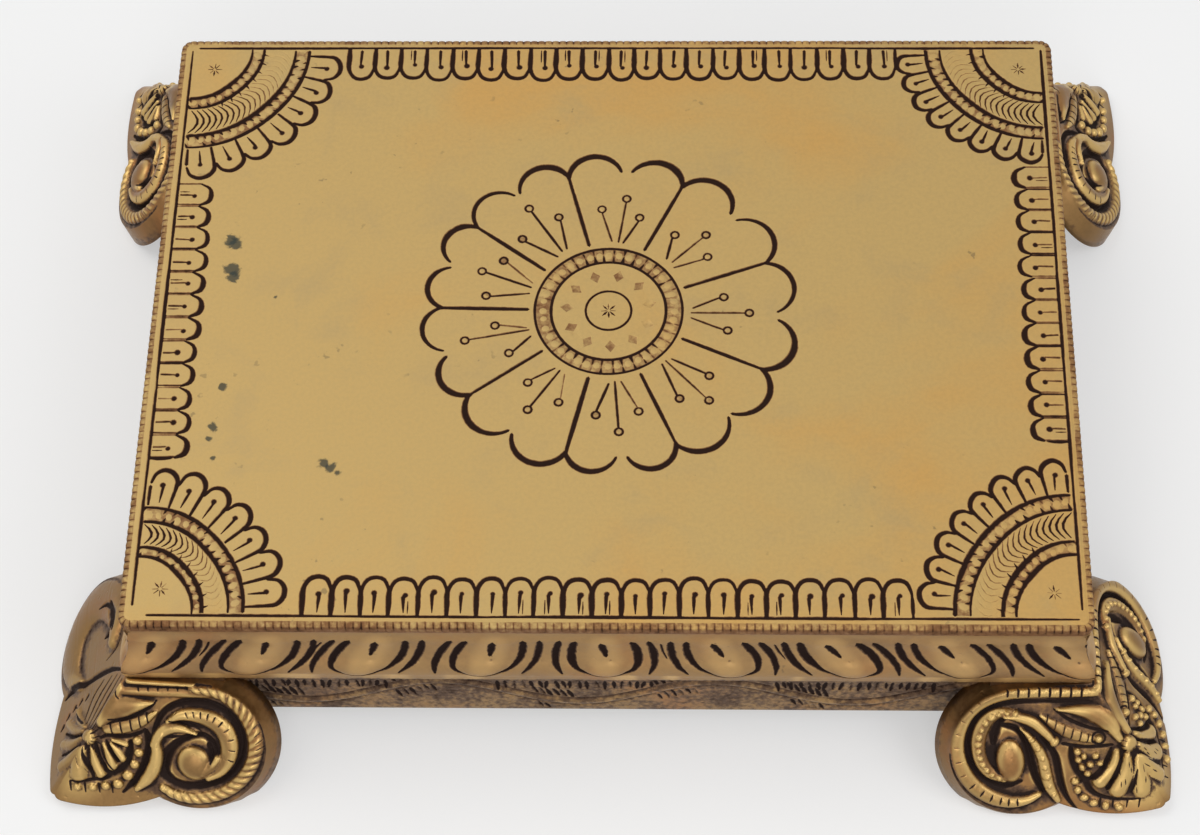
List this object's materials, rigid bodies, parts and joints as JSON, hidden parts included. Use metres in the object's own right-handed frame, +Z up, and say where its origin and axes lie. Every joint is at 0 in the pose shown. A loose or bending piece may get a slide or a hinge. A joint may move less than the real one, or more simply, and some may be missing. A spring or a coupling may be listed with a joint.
{
  "type": "low table",
  "caption": "Low rectangular brass table for offerings, with an engraved flat top, moulded aprons and short splayed scroll legs, joined from inside by corner brackets and screws.",
  "frame": {"origin": "middle of the table's box on the floor, under the middle of the top", "axes": "+X along the length to the right, +Y to the back, +Z up"},
  "size_m": [0.3044, 0.2424, 0.059],
  "materials": {
    "top_brass": "worn satin brass, engraved lines filled black, mottled warm tarnish",
    "apron_brass": "chased and worn, brown patina in the recesses",
    "leg_brass": "cast, worn bright on the high places, dark patina in the recesses",
    "bracket_brass": "dull unpolished sheet",
    "fastener_brass": "turned, dull"
  },
  "bodies": {
    "root": {"top_plate": "top_brass", "back_apron": "apron_brass", "left_apron": "apron_brass", "front_apron": "apron_brass", "right_apron": "apron_brass", "back_right_leg": "leg_brass", "back_left_leg": "leg_brass", "front_left_leg": "leg_brass", "front_right_leg": "leg_brass", "back_right_bracket": "bracket_brass", "back_left_bracket": "bracket_brass", "front_left_bracket": "bracket_brass", "front_right_bracket": "bracket_brass", "leg_screws": "fastener_brass", "top_studs": "fastener_brass", "stud_washers": "fastener_brass", "stud_nuts": "fastener_brass"}
  },
  "joints": []
}
